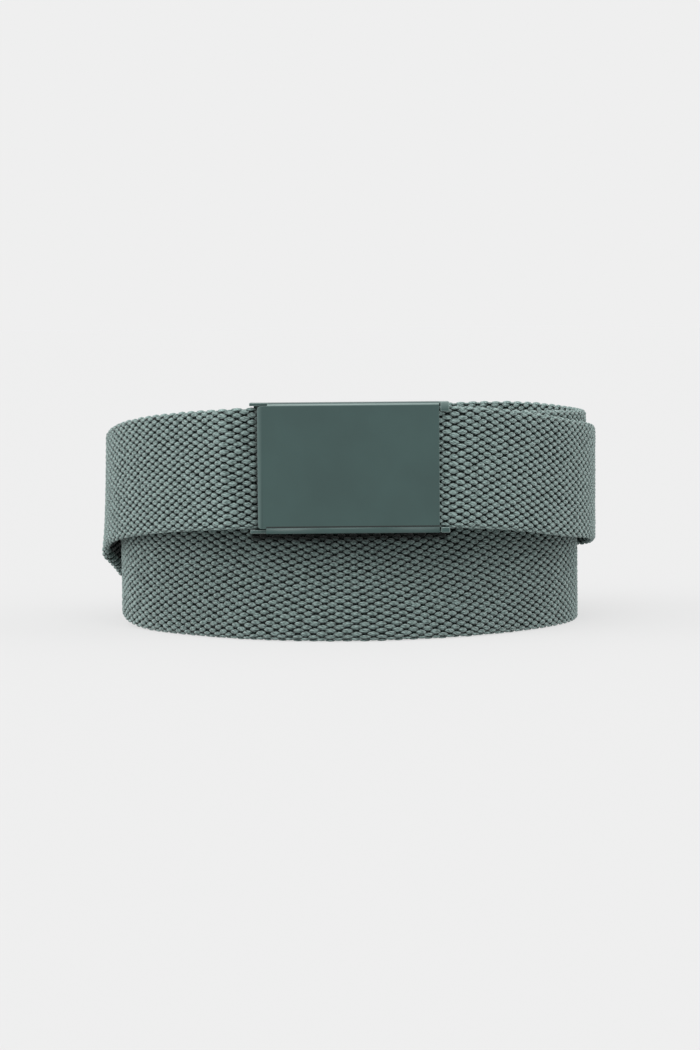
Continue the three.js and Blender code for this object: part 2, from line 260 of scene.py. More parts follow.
# %% Read the table smoothly between its rows
def run_at(turn):
    """The table's columns after the first, at an array of turns."""
    rows = RUN[:, 0]
    after = np.clip(np.searchsorted(rows, turn, side="right"), 1, len(rows) - 1)
    before = after - 1
    first, last = before == 0, after == len(rows) - 1
    left = np.where(first, after, before - 1)
    right = np.where(last, before, np.minimum(after + 1, len(rows) - 1))
    span = rows[after] - rows[before]
    left_pull = (span / 2 / (rows[before] - rows[left]))[:, None]
    right_pull = (span / 2 / (rows[right] - rows[after]))[:, None]
    part = np.clip((turn - rows[before]) / span, 0, 1)[:, None]
    from_left = -left_pull * part**3 + 2 * left_pull * part**2 - left_pull * part
    from_before = (1 + left_pull) * part**3 - (1.5 + 2 * left_pull) * part**2 + (left_pull - 0.5) * part + 1
    from_after = -(1 + right_pull) * part**3 + (1.5 + right_pull) * part**2 + 0.5 * part
    from_right = right_pull * part**3 - right_pull * part**2
    values = RUN[:, 1:]
    near = from_before * values[before] + from_after * values[after]
    return near + from_left * values[left] + from_right * values[right]


fixed_web_depth = PLATE_SHEET + WEB_GAP + WEB_THICKNESS / 2
passing_web_depth = fixed_web_depth + WEB_THICKNESS + WEB_GAP
buckle_half = (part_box("buckle_frame")[1].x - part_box("buckle_frame")[0].x) / 2 / MM
straight_half = buckle_half + EXIT_ROOM
face_front = fixed_web_depth + math.sqrt((COIL_RADIUS - WEB_THICKNESS / 2) ** 2 - straight_half**2)
print("the plate's front is", round(face_front, 2), "mm from the middle of the roll")

# %% [markdown]
# From the table comes a dense row of sections, each with a middle, a direction across the web's thickness
# and a direction up its width. Beside the buckle the round web turns into the straight stretch that the
# buckle forces on it. The lowest point of each section is put exactly at the height that the table gives
# for the foot.

# %% Work out the web's middle line and its directions
DENSE_STEP = 0.1
LOOK_AHEAD = 0.5


def soft_min(a, b):
    """The smaller of two lengths, with a soft change from one to the other."""
    overlap = np.maximum(EXIT_BEND - np.abs(a - b), 0)
    return np.minimum(a, b) - overlap**2 / (4 * EXIT_BEND)


def middles(turn):
    """The middle of the web's section at each turn, in the roll's own frame, in mm."""
    swell, inset, tuck, foot, lean = run_at(turn).T
    foot = np.maximum(foot, 0) * WEB_WIDTH
    lean = np.radians(lean)
    angle = np.radians(turn)
    radius = COIL_RADIUS * swell - WEB_THICKNESS / 2 - inset * (WEB_THICKNESS + TURN_GAP)
    radius = radius - tuck * WEB_WIDTH - WEB_WIDTH / 2 * np.sin(lean)
    passing = np.round(turn / 360)
    beside_buckle = (passing != 1) & (np.abs(turn - 360 * passing) < BUCKLE_REACH)
    depth = np.where(passing == 0, fixed_web_depth, passing_web_depth)
    held = soft_min(radius, (face_front - depth) / np.cos(angle))
    radius = np.where(beside_buckle, held, radius)
    height = foot + WEB_WIDTH / 2 * np.cos(lean)
    return np.stack([radius * np.sin(angle), -radius * np.cos(angle), height], axis=1)


def unit(vectors):
    """The same directions, each of length one."""
    return vectors / np.linalg.norm(vectors, axis=1, keepdims=True)


def web_way():
    """Length along the web, and the middle, outward and upward directions there, all in mm."""
    start = math.degrees(math.atan2(buckle_half - FIXED_END_DEPTH, face_front - fixed_web_depth))
    turn = np.arange(start, FREE_END_TURN, DENSE_STEP)
    middle = middles(turn)
    forward = unit(middles(turn + LOOK_AHEAD) - middles(turn - LOOK_AHEAD))
    outward = unit(np.stack([forward[:, 1], -forward[:, 0], np.zeros(len(turn))], axis=1))
    upward = np.cross(outward, forward)
    values = run_at(turn)
    foot = np.maximum(values[:, 3], 0) * WEB_WIDTH
    lean = np.radians(values[:, 4])[:, None]
    across = outward * np.cos(lean) + upward * np.sin(lean)
    up = upward * np.cos(lean) - outward * np.sin(lean)
    lowest = middle[:, 2] - WEB_WIDTH / 2 * up[:, 2] - EDGE_FLAT / 2 * np.abs(across[:, 2])
    middle[:, 2] += foot - lowest
    frame_low, frame_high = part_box("buckle_frame")
    middle[:, 0] += (frame_low.x + frame_high.x) / 2 / MM
    middle[:, 1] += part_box("face_plate")[0].y / MM + face_front
    steps = np.linalg.norm(np.diff(middle, axis=0), axis=1)
    return np.concatenate([[0], np.cumsum(steps)]), middle, across, up


way_length, way_middle, way_across, way_up = web_way()
WEB_LENGTH = way_length[-1]
print("the web is", round(WEB_LENGTH), "mm long")

# %% [markdown]
# Two small functions now turn a place on the web into a place in space. The first runs round the web's
# section, which is a flat loop: up the outer face, over the rounded top edge, down the inner face and back
# under the lower edge. The second adds the distance along the web. A yarn can then be laid anywhere by
# three numbers: how far along, how far round, and how deep.


# %% Turn places on the web into places in space
SIDE_HALF = WEB_WIDTH / 2 - WEB_THICKNESS / 2
EDGE_ARC = math.pi * WEB_THICKNESS / 2
LOOP_LENGTH = 4 * SIDE_HALF + 2 * EDGE_ARC


def round_section(way_round, depth):
    """Height up the web and distance outwards, in mm, from a distance round its section and a depth."""
    from_corner = np.mod(way_round + SIDE_HALF, LOOP_LENGTH)
    far = from_corner >= LOOP_LENGTH / 2
    from_corner = np.where(far, from_corner - LOOP_LENGTH / 2, from_corner)
    on_edge = from_corner > 2 * SIDE_HALF
    angle = np.where(on_edge, (from_corner - 2 * SIDE_HALF) / (WEB_THICKNESS / 2), 0)
    reach = WEB_THICKNESS / 2 - depth
    height = np.where(on_edge, SIDE_HALF, from_corner - SIDE_HALF) + np.sin(angle) * reach
    out = np.cos(angle) * reach
    side = np.where(far, -1, 1)
    return height * side, out * side


def on_web(along, height, out):
    """Points in metres for distances along the web, up its width and outwards, all in mm."""
    def column(values):
        return np.stack([np.interp(along, way_length, values[:, k]) for k in range(3)], axis=-1)

    point = column(way_middle) + column(way_up) * height[..., None] + column(way_across) * out[..., None]
    return point * MM


print("round its section the web measures", round(LOOP_LENGTH, 1), "mm")

# %% [markdown]
# The webbing is a thick plain weave. Heavy yarns run lengthwise and float over hidden crosswise ones, so
# that the surface is a lattice of plump lozenges, each set half a step off its neighbours, with a small
# dark slot above and below. A displaced sheet would need far more faces to show the slots. So each lozenge
# is a small dome of its own, copied by array arithmetic and joined into a few long meshes.
#
# The dome is a lemon seen from above: a little pointed along the web, round across it.

# %% Shape one lozenge of yarn
DOME_SEGMENTS = 8
DOME_RINGS = ((1.0, 0.0), (0.91, 0.46), (0.62, 0.86))
POINTEDNESS = 1.1


def dome_template(rings):
    """Unit dome: places along, across and up for each vertex, and the faces between them."""
    along, across, up = [], [], []
    for reach, height in rings:
        for k in range(DOME_SEGMENTS):
            angle = 2 * math.pi * k / DOME_SEGMENTS
            along.append(reach * math.cos(angle))
            sine = math.sin(angle)
            across.append(reach * math.copysign(abs(sine) ** POINTEDNESS, sine))
            up.append(height)
    along.append(0)
    across.append(0)
    up.append(1)
    faces = []
    for ring in range(len(rings) - 1):
        for k in range(DOME_SEGMENTS):
            a = ring * DOME_SEGMENTS + k
            b = ring * DOME_SEGMENTS + (k + 1) % DOME_SEGMENTS
            faces.append((a, b, b + DOME_SEGMENTS, a + DOME_SEGMENTS))
    last = (len(rings) - 1) * DOME_SEGMENTS
    tip = len(rings) * DOME_SEGMENTS
    caps = [(last + k, last + (k + 1) % DOME_SEGMENTS, tip) for k in range(DOME_SEGMENTS)]
    return np.array(along), np.array(across), np.array(up), np.array(faces), np.array(caps)


along, across, up, quads, caps = dome_template(DOME_RINGS)
print("a lozenge has", 2 * len(quads) + len(caps), "triangles")

# %% [markdown]
# The lattice has a column of lozenges every 2.27 mm along the web and 35 lozenges round each column. Real
# webbing is never quite even, so each lozenge gets a slightly different size, place, turn and shade, from a
# seeded random generator that gives the same belt on every run. Long slow waves also push the columns a
# little to and fro, as uneven tension in the loom does.
#
# Along the upper edge the photograph shows the crosswise yarn turning back in a plump loop at every second
# column, with a valley between two loops. Each loop is painted lighter as well: painted light, where the
# upper edge catches the light from above.

# %% Lay out the lattice
COLUMN_PITCH = 2.27
LOZENGES_ROUND = 35
LOZENGE_HALF_LENGTH = 1.72
LOZENGE_HALF_WIDTH = 0.92
LOZENGE_RISE = 0.9
SIZE_SPREAD = 0.04
PLACE_SPREAD = 0.04
TURN_SPREAD = math.radians(3)
LEAST_SHADE = 0.88
SEED = 11
PATCH_PUSH, PATCH_LONG, PATCH_WIDE = 0.18, 31, 9.5
COLUMN_PUSH, COLUMN_LONG, COLUMN_START = 0.1, 13, 2
SELVAGE_REACH = 0.9
LOOP_LONGER, LOOP_WIDER, LOOP_HIGHER = 1.22, 1.5, 1.25
VALLEY_SHORTER, VALLEY_LOWER = 0.85, 0.75
# Painted light: the loops along the upper edge are painted lighter, where they catch the light from above
LOOP_PAINTED_LIGHT = 1.12


def loom_waves(spot_along, spot_round):
    """How far the loom pushed the yarns along the web, in mm: in patches, and whole columns together."""
    patches = PATCH_PUSH * np.sin(spot_along / PATCH_LONG) * np.sin(spot_round / PATCH_WIDE)
    return patches + COLUMN_PUSH * np.sin(spot_along / COLUMN_LONG + COLUMN_START)


def lattice(random):
    """Distance along the web, distance round its section and own variations of every lozenge."""
    columns = int(WEB_LENGTH / COLUMN_PITCH)
    pitch_round = LOOP_LENGTH / LOZENGES_ROUND
    column, row = np.meshgrid(np.arange(columns), np.arange(LOZENGES_ROUND), indexing="ij")
    spot_along = (column + 0.5) * WEB_LENGTH / columns
    spot_round = (row + 0.5 * (column % 2)) * pitch_round
    spot_along = spot_along + loom_waves(spot_along, spot_round)
    edge_middle = SIDE_HALF + EDGE_ARC / 2
    from_edge = np.mod(spot_round - edge_middle + LOOP_LENGTH / 4, LOOP_LENGTH / 2) - LOOP_LENGTH / 4
    upper_edge = np.abs(np.mod(spot_round, LOOP_LENGTH) - edge_middle) < LOOP_LENGTH / 4
    selvage = upper_edge & (np.abs(from_edge) < SELVAGE_REACH)
    loop = (selvage & (column % 2 == 1)).ravel()
    valley = (selvage & (column % 2 == 0)).ravel()
    spot_round = np.where(selvage, spot_round - from_edge, spot_round)
    count = column.size
    spots = {
        "along": spot_along.ravel() + random.normal(0, PLACE_SPREAD, count),
        "round": spot_round.ravel() + random.normal(0, PLACE_SPREAD, count),
        "length": LOZENGE_HALF_LENGTH * random.normal(1, SIZE_SPREAD, count),
        "width": LOZENGE_HALF_WIDTH * random.normal(1, SIZE_SPREAD, count),
        "rise": LOZENGE_RISE * random.normal(1, SIZE_SPREAD, count),
        "turn": random.normal(0, TURN_SPREAD, count),
        "shade": random.uniform(LEAST_SHADE, 1, count),
    }
    spots["length"] *= np.where(loop, LOOP_LONGER, np.where(valley, VALLEY_SHORTER, 1))
    spots["width"] *= np.where(loop, LOOP_WIDER, 1)
    spots["rise"] *= np.where(loop, LOOP_HIGHER, np.where(valley, VALLEY_LOWER, 1))
    # Painted light on the loops along the upper edge
    spots["shade"][loop] = LOOP_PAINTED_LIGHT
    print(columns, "columns,", count, "lozenges")
    return spots


spots = lattice(np.random.default_rng(SEED))

# %% [markdown]
# Two places are darker than the light here makes them, and both are painted shade. At the front the lower
# turn lies under the overhang of the buckle and the upper turn, and is darker than the upper one. And
# behind the middle of the left side, between the climbing web and the turn inside it, there is a narrow
# pocket whose inner face lies in shade, nearly black in the photograph, with a pale rim below that catches
# the light. Whether the cloth is faded or the studio light did it can't be told from one picture.
#
# Lamps could hardly be aimed at these places alone. So the painted shade is put into the yarn's shade
# number, with painted light on the pocket's rim, and it fades out softly: for the lower turn towards the
# sides, where the photograph has none.

# %% Paint shade on the lower turn and in the pocket
# Painted shade for the lower turn and the pocket, and painted light on the pocket's rim
LOWER_PAINTED_SHADE = 0.72
UPPER_FROM, LOWER_UP_TO = 46, 26
POCKET_PAINTED_SHADE = 0.15
RIM_PAINTED_LIGHT = 1.3
RIM_WIDTH = 2.5
POCKET_FROM, POCKET_FULL = -67, -73
POCKET_RADIUS = 78
POCKET_TOP, POCKET_FULL_BELOW = 38, 32


def lower_turn_painted_shade(y, height):
    """Painted shade, full on the lower turn at the front, and 1 at the sides, behind and on the upper turn.
    """
    upper = np.clip((height - LOWER_UP_TO) / (UPPER_FROM - LOWER_UP_TO), 0, 1)
    front = np.clip(-y / COIL_RADIUS, 0, 1)
    return 1 - (1 - LOWER_PAINTED_SHADE) * front * (1 - upper)


def pocket_painted_shade(x, y, height, way_round):
    """Painted shade on the inner face in the pocket, painted light on its lower rim, and 1 everywhere else.
    """
    down_inside = np.mod(way_round, LOOP_LENGTH) - LOOP_LENGTH / 2
    inside = np.clip((POCKET_FROM - x) / (POCKET_FROM - POCKET_FULL), 0, 1)
    inside *= np.clip((POCKET_TOP - height + down_inside) / (POCKET_TOP - POCKET_FULL_BELOW), 0, 1)
    inside *= (y > 0) & (np.hypot(x, y) > POCKET_RADIUS) & (down_inside > -SIDE_HALF)
    shade = np.where(down_inside < SIDE_HALF - RIM_WIDTH, POCKET_PAINTED_SHADE, RIM_PAINTED_LIGHT)
    return 1 + (shade - 1) * inside


spot_x, spot_y, spot_height = (np.interp(spots["along"], way_length, way_middle[:, k]) for k in range(3))
in_pocket = pocket_painted_shade(spot_x, spot_y, spot_height, spots["round"])
# The painted shade and painted light go into the yarn's shade number
spots["shade"] *= lower_turn_painted_shade(spot_y, spot_height)
spots["shade"] *= in_pocket
print(np.count_nonzero(in_pocket != 1), "lozenges are in the pocket")

# %% [markdown]
# The photograph has nearly black shadow in narrow places: in the slot right under the buckle, and left of
# the plate, where the web runs in behind it. The even light here leaves both too bright, so this shadow too
# is painted into the yarn's shade, point by point.

# %% Paint the shadow round the buckle
SLOT_TOP, SLOT_FOOT = 2.05 * MM, 4.05 * MM
SLOT_DEPTH = 22 * MM
SLOT_SHADOW = 0.96
SIDE_REACH = 2.2 * MM
SIDE_DEPTH = 5.5 * MM
SIDE_SHADOW = 0.85


def painted_shadow(points):
    """The share of its brightness that the yarn keeps in the narrow places under and left of the buckle."""
    x, y, z = np.moveaxis(points, -1, 0)
    frame_low, frame_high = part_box("buckle_frame")
    plate_low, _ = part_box("face_plate")
    below = frame_low.z - z
    slot = np.clip((SLOT_FOOT - below) / (SLOT_FOOT - SLOT_TOP), 0, 1)
    slot *= (below > 0) & (x > frame_low.x) & (x < frame_high.x) & (y < plate_low.y + SLOT_DEPTH)
    beside = plate_low.x - x
    side = np.clip(1 - beside / SIDE_REACH, 0, 1) ** 2
    side *= (below < 0) & (beside > 0) & (y < plate_low.y + SIDE_DEPTH)
    return 1 - np.maximum(SLOT_SHADOW * slot, SIDE_SHADOW * side)


print("the slot's shadow fades out", round(SLOT_FOOT / MM, 2), "mm under the buckle")

# %% [markdown]
# Each stretch of the web becomes one mesh. Besides its place, every vertex carries what the yarn's material
# needs: the lozenge's own shade, times the painted shade, painted light and painted shadow from above, how
# high the vertex stands out of the weave, and a flat map in millimetres along and across the yarn, so that
# the fibres can follow it round every bend. The map starts at another place for each lozenge, because the
# same fibres on all of them would show as a pattern.

# %% Build the woven surface
YARN_MAP = "yarn"
MAP_SHIFT = 40


def add_number(mesh, name, values):
    """A number on every vertex, which a material can read by its name."""
    mesh.attributes.new(name, "FLOAT", "POINT").data.foreach_set("value", values.astype(np.float32).ravel())


def add_map(mesh, name, flat):
    """A flat map of the mesh, from one pair of numbers for each vertex."""
    layer = mesh.uv_layers.new(name=name)
    corners = np.empty(len(mesh.loops), dtype=np.int32)
    mesh.loops.foreach_get("vertex_index", corners)
    layer.data.foreach_set("uv", flat[corners].astype(np.float32).ravel())


def woven_mesh(name, spots):
    """All lozenges of one stretch, joined into one mesh."""
    turn = spots["turn"][:, None]
    length, width = spots["length"][:, None], spots["width"][:, None]
    x = length * along * np.cos(turn) - width * across * np.sin(turn)
    y = length * along * np.sin(turn) + width * across * np.cos(turn)
    depth = LOZENGE_RISE - spots["rise"][:, None] * up
    height, out = round_section(spots["round"][:, None] + y, depth)
    points = on_web(np.clip(spots["along"][:, None] + x, 0, WEB_LENGTH), height, out)
    points[..., 2] = np.maximum(points[..., 2], 0)
    count, each = len(turn), len(along)
    first = (np.arange(count) * each)[:, None, None]
    faces = (quads + first).reshape(-1, 4).tolist() + (caps + first).reshape(-1, 3).tolist()
    mesh = bpy.data.meshes.new(name)
    mesh.from_pydata(points.reshape(-1, 3), [], faces)
    mesh.shade_smooth()
    # The shade number: the lozenge's own tone, with its painted shade and painted light, times the painted
    # shadow
    add_number(mesh, "shade", spots["shade"][:, None] * painted_shadow(points))
    add_number(mesh, "standing", np.tile(up, count))
    flat = np.stack([length * along, width * across], axis=-1) + MAP_SHIFT * spots["shade"][:, None, None]
    add_map(mesh, YARN_MAP, flat.reshape(-1, 2))
    return mesh


STRETCHES = 4
woven = {}
for stretch in range(STRETCHES):
    low, high = WEB_LENGTH * stretch / STRETCHES, WEB_LENGTH * (stretch + 1) / STRETCHES
    here = (spots["along"] >= low) & (spots["along"] < high)
    if stretch == 0:
        here |= spots["along"] < low
    if stretch == STRETCHES - 1:
        here |= spots["along"] >= high
    name = f"web_weave_{stretch + 1}"
    woven[name] = woven_mesh(name, {key: values[here] for key, values in spots.items()})
    print(name, "has", len(woven[name].loops) - 2 * len(woven[name].polygons), "triangles")

# %% [markdown]
# A finish in Blender is a small net of nodes that ends in a shader. The nets could be drawn by hand in the
# shader editor. Here they are written, and a few short helpers keep them readable: one for each kind of
# node that the yarn and the paint both need.

# %% Make helpers for the finishes
BLACK, WHITE = (0, 0, 0), (1, 1, 1)


def new_material(name):
    """An empty node material and its main shader."""
    material = bpy.data.materials.new(name)
    material.use_nodes = True
    return material, material.node_tree, material.node_tree.nodes["Principled BSDF"]


def node(tree, kind, **settings):
    """A new node with its settings."""
    made = tree.nodes.new(kind)
    for key, value in settings.items():
        setattr(made, key, value)
    return made


def fill(made, values):
    """Sets constants on a node's own sockets, by their names."""
    for name, value in values.items():
        made.inputs[name].default_value = value


def reading(tree, name):
    """The node output that reads a number stored on the mesh."""
    return node(tree, "ShaderNodeAttribute", attribute_name=name).outputs["Fac"]


def noise(tree, scale, place=None, detail=2, dimensions="3D"):
    """Noise from 0 to 1 over a place, or over the piece's own box where no place is given."""
    made = node(tree, "ShaderNodeTexNoise", noise_dimensions=dimensions)
    fill(made, {"Scale": scale, "Detail": detail})
    if place is not None:
        tree.links.new(place, made.inputs["Vector"])
    return made.outputs["Fac"]


def ramp(tree, value, *stops):
    """A colour ramp over a value, from two (place, colour) stops."""
    made = node(tree, "ShaderNodeValToRGB")
    for element, (place, colour) in zip(made.color_ramp.elements, stops):
        element.position = place
        element.color = (*colour, 1)
    tree.links.new(value, made.inputs["Fac"])
    return made.outputs["Color"]


def mixed(tree, how, amount, first, second):
    """Two colours mixed by a share. Each of the three may be a constant or a node output."""
    made = node(tree, "ShaderNodeMix", data_type="RGBA", blend_type=how)
    for name, value in (("Factor", amount), ("A", first), ("B", second)):
        socket = made.inputs[name]
        if isinstance(value, bpy.types.NodeSocket):
            tree.links.new(value, socket)
        elif isinstance(value, tuple):
            socket.default_value = (*value, 1)
        else:
            socket.default_value = value
    return made.outputs["Result"]


def bumped(tree, height, strength, distance):
    """A surface that rises and falls with a height, for a shader's Normal socket."""
    made = node(tree, "ShaderNodeBump")
    fill(made, {"Strength": strength, "Distance": distance})
    tree.links.new(height, made.inputs["Height"])
    return made.outputs["Normal"]


print("helpers for the finishes are ready")

# %% [markdown]
# Cotton yarn is matt, with a faint sheen where its loose fibres catch the light. Its colour is a grey green
# that differs a little from lozenge to lozenge. Deep between the yarns hardly any light arrives, so there
# the
# colour is painted almost black: painted shade, set by how high each vertex stands out of the weave. The
# fibres are streaks of noise stretched along the yarn, used for the colour and for the bump. Real hair
# strands would stand off more naturally, but at this distance they would be far finer than a pixel.

# %% Mix the yarn's material
YARN_DARK = (0.045, 0.07, 0.065)
YARN_LIGHT = (0.28, 0.378, 0.358)
DARK_UP_TO, LIGHT_FROM = 0.34, 0.62
# Painted shade: the near-black colour deep between the yarns
DEEP_SHADE_COLOUR = (0.001, 0.003, 0.0028)
DEEP_UP_TO, LIT_FROM = 0.24, 0.74
FIBRES_PER_MM = 4
FIBRE_STRETCH = 0.2
FIBRE_TWIST = 0.22
FIBRE_BUMP = 0.8
FIBRE_DEPTH = 0.2 * MM
YARN_FINISH = {"Roughness": 0.88, "Sheen Weight": 0.3, "Sheen Roughness": 0.5, "Specular IOR Level": 0.08}


def mapped(tree, place, how, amount):
    """A place turned or stretched, by the mapping's socket of that name."""
    made = node(tree, "ShaderNodeMapping")
    fill(made, {how: amount})
    tree.links.new(place, made.inputs["Vector"])
    return made.outputs["Vector"]


def fibres(tree):
    """Noise stretched along the yarn and slightly twisted round it."""
    flat = node(tree, "ShaderNodeUVMap", uv_map=YARN_MAP).outputs["UV"]
    turned = mapped(tree, flat, "Rotation", (0, 0, FIBRE_TWIST))
    stretched = mapped(tree, turned, "Scale", (FIBRE_STRETCH, 1, 1))
    return noise(tree, FIBRES_PER_MM, stretched, dimensions="2D")


def yarn_material():
    """Matt cotton, each lozenge in its own shade, with painted shade between them."""
    material, tree, shader = new_material("cotton_yarn")
    streaks = fibres(tree)
    by_fibre = ramp(tree, streaks, (DARK_UP_TO, YARN_DARK), (LIGHT_FROM, YARN_LIGHT))
    # The shade number holds each lozenge's tone together with the painted shade, painted light and painted
    # shadow
    tinted = mixed(tree, "MULTIPLY", 1.0, by_fibre, reading(tree, "shade"))
    # Painted shade deep between the yarns, by how high each vertex stands
    lit = ramp(tree, reading(tree, "standing"), (DEEP_UP_TO, BLACK), (LIT_FROM, WHITE))
    tree.links.new(mixed(tree, "MIX", lit, DEEP_SHADE_COLOUR, tinted), shader.inputs["Base Color"])
    tree.links.new(bumped(tree, streaks, FIBRE_BUMP, FIBRE_DEPTH), shader.inputs["Normal"])
    fill(shader, YARN_FINISH)
    return material


def link_piece(name, mesh, material, slot, *nodes):
    """Puts a finished mesh in the scene as a piece of the belt that stands for CAD nodes."""
    mesh.materials.append(material)
    made = bpy.data.objects.new(name, mesh)
    bpy.context.scene.collection.objects.link(made)
    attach(made, "root")
    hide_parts(*nodes)


YARN = yarn_material()
for name, mesh in woven.items():
    link_piece(name, mesh, YARN, "webbing", "web")
print("yarn on", len(woven), "stretches")

# %% [markdown]
# Under the lozenges lie the hidden crosswise yarns. Only a dark shimmer of them shows in the slots. Single
# yarns would hardly be seen there, so they are one thin closed band inside the lozenges, painted nearly
# black
# green: painted shade, since hardly any light reaches the slots. It also stops light from passing through
# the weave.

# %% Fill the weave with its hidden core
CORE_DEPTH = 0.8
CORE_STEP = 1.2
CORE_END_GAP = 0.3
# Painted shade: the core's nearly black colour
CORE_SHADE_COLOUR = (0.008, 0.014, 0.012)
CORE_DARK_UP_TO, CORE_LIGHT_FROM = 0.3, 0.8
CORE_SPECKS = 900
CORE_FINISH = {"Roughness": 1, "Specular IOR Level": 0.1}


def core_mesh():
    """A closed band a little inside the web's surface."""
    stations = np.linspace(CORE_END_GAP, WEB_LENGTH - CORE_END_GAP, int(WEB_LENGTH / CORE_STEP))
    face_places = np.array([-SIDE_HALF, 0, SIDE_HALF])
    edge_places = SIDE_HALF + EDGE_ARC * np.array([0.25, 0.5, 0.75])
    half = np.concatenate([face_places, edge_places])
    loop = np.concatenate([half, half + LOOP_LENGTH / 2])
    height, out = round_section(loop, np.full(len(loop), CORE_DEPTH))
    points = on_web(*np.broadcast_arrays(stations[:, None], height, out))
    rows, sides = points.shape[:2]
    faces = []
    for row in range(rows - 1):
        for side in range(sides):
            a, b = row * sides + side, row * sides + (side + 1) % sides
            faces.append((a, a + sides, b + sides, b))
    faces.append(tuple(range(sides)))
    faces.append(tuple(range((rows - 1) * sides, rows * sides))[::-1])
    mesh = bpy.data.meshes.new("web_core")
    mesh.from_pydata(points.reshape(-1, 3), [], faces)
    return mesh


def core_material():
    """Cotton in painted shade, nearly black, with fine specks."""
    material, tree, shader = new_material("hidden_yarn")
    stops = (CORE_DARK_UP_TO, DEEP_SHADE_COLOUR), (CORE_LIGHT_FROM, CORE_SHADE_COLOUR)
    tree.links.new(ramp(tree, noise(tree, CORE_SPECKS), *stops), shader.inputs["Base Color"])
    fill(shader, CORE_FINISH)
    return material


core = core_mesh()
link_piece("web_core", core, core_material(), "webbing", "web")
print("the core has", len(core.polygons), "faces")

# %% [markdown]
# The buckle's shapes are right in the CAD model, but its edges are knife-sharp. Pressed and painted sheet
# has edges rounded by a few tenths of a millimetre, and each catches a thin line of light. A bevel modifier
# would do much the same. Here each CAD mesh is copied, its flat faces are joined, and its edges are
# bevelled by one operator, which also says which faces it made.
#
# That matters for the paint. In the photograph the edges and one bend show as pale lines, where they catch
# the light. They are made as a painted highlight: a paler paint colour. Whether the paint is worn there or
# only shines can't be told from one picture, so they are made as paint rubbed thin. Each vertex gets a
# number that says how much painted highlight it has: the bevels have it, and a function that is handed in
# says how much any other place has. A number needs vertices to sit on, so a copy can also be cut across,
# which lets it fade out between the cut and the edge.

# %% Round the edges of the buckle's metal
EDGE_ROUND = 0.22 * MM
EDGE_ROWS = 3
MERGE_WITHIN = 0.002 * MM
FLAT_ANGLE = math.radians(4)
BEVEL_ANGLE = math.radians(28)
LARGE_FACE = 60 * MM**2
# Painted highlight on the bevelled edges
EDGE_HIGHLIGHT = 0.84


def rounded_copy(node_name, how_highlit, cuts):
    """A CAD node's mesh copied, cut across where told, its edges bevelled and its small faces smooth."""
    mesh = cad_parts[node_name].data.copy()
    mesh.materials.clear()
    shape = bmesh.new()
    shape.from_mesh(mesh)
    bmesh.ops.remove_doubles(shape, verts=shape.verts, dist=MERGE_WITHIN)
    bmesh.ops.dissolve_limit(shape, angle_limit=FLAT_ANGLE, verts=shape.verts, edges=shape.edges)
    for place, direction in cuts:
        everything = shape.verts[:] + shape.edges[:] + shape.faces[:]
        bmesh.ops.bisect_plane(shape, geom=everything, plane_co=place, plane_no=direction)
    sharp = [edge for edge in shape.edges if edge.calc_face_angle(0) > BEVEL_ANGLE]
    painted_highlight = shape.verts.layers.float.new("painted_highlight")
    made = bmesh.ops.bevel(
        shape, geom=sharp, offset=EDGE_ROUND, offset_type="OFFSET", segments=EDGE_ROWS, profile=0.5,
        affect="EDGES", clamp_overlap=True
    )
    rounding = set(made["faces"])
    # Painted highlight: how much each vertex gets
    for vertex in shape.verts:
        bevelled = all(face in rounding for face in vertex.link_faces)
        vertex[painted_highlight] = max(EDGE_HIGHLIGHT * bevelled, how_highlit(vertex.co))
    for face in shape.faces:
        face.smooth = face.calc_area() < LARGE_FACE
    shape.to_mesh(mesh)
    shape.free()
    return mesh


print("edges will be rounded by", round(EDGE_ROUND / MM, 2), "mm")

# %% [markdown]
# The paint is a dark sage satin over steel. Sprayed paint has a very fine grain that breaks up reflections.
# The grain is fine noise in the bump and in the roughness. Two greens that hardly differ run softly into
# each other, because no sprayed paint is one even colour.

# %% Mix the buckle's paint
PAINT_COLOUR = (0.0222, 0.0515, 0.0478)
PAINT_PALE = (0.0262, 0.0597, 0.0553)
DARK_CLOUD_UP_TO, PALE_CLOUD_FROM = 0.35, 0.65
CLOUDS_PER_METRE, CLOUD_DETAIL = 60, 3
# Painted highlight: its paler colour and how far it covers the paint
HIGHLIGHT_COLOUR = (0.2, 0.27, 0.255)
HIGHLIGHT_SHARE = 0.95
# Painted shade in the plate's crease
CREASE_SHADE_COLOUR = (0.004, 0.009, 0.008)
GRAINS_PER_METRE = 1800
GRAIN_BUMP = 0.3
GRAIN_DEPTH = 0.05 * MM
LEAST_ROUGHNESS, MOST_ROUGHNESS = 0.3, 0.4


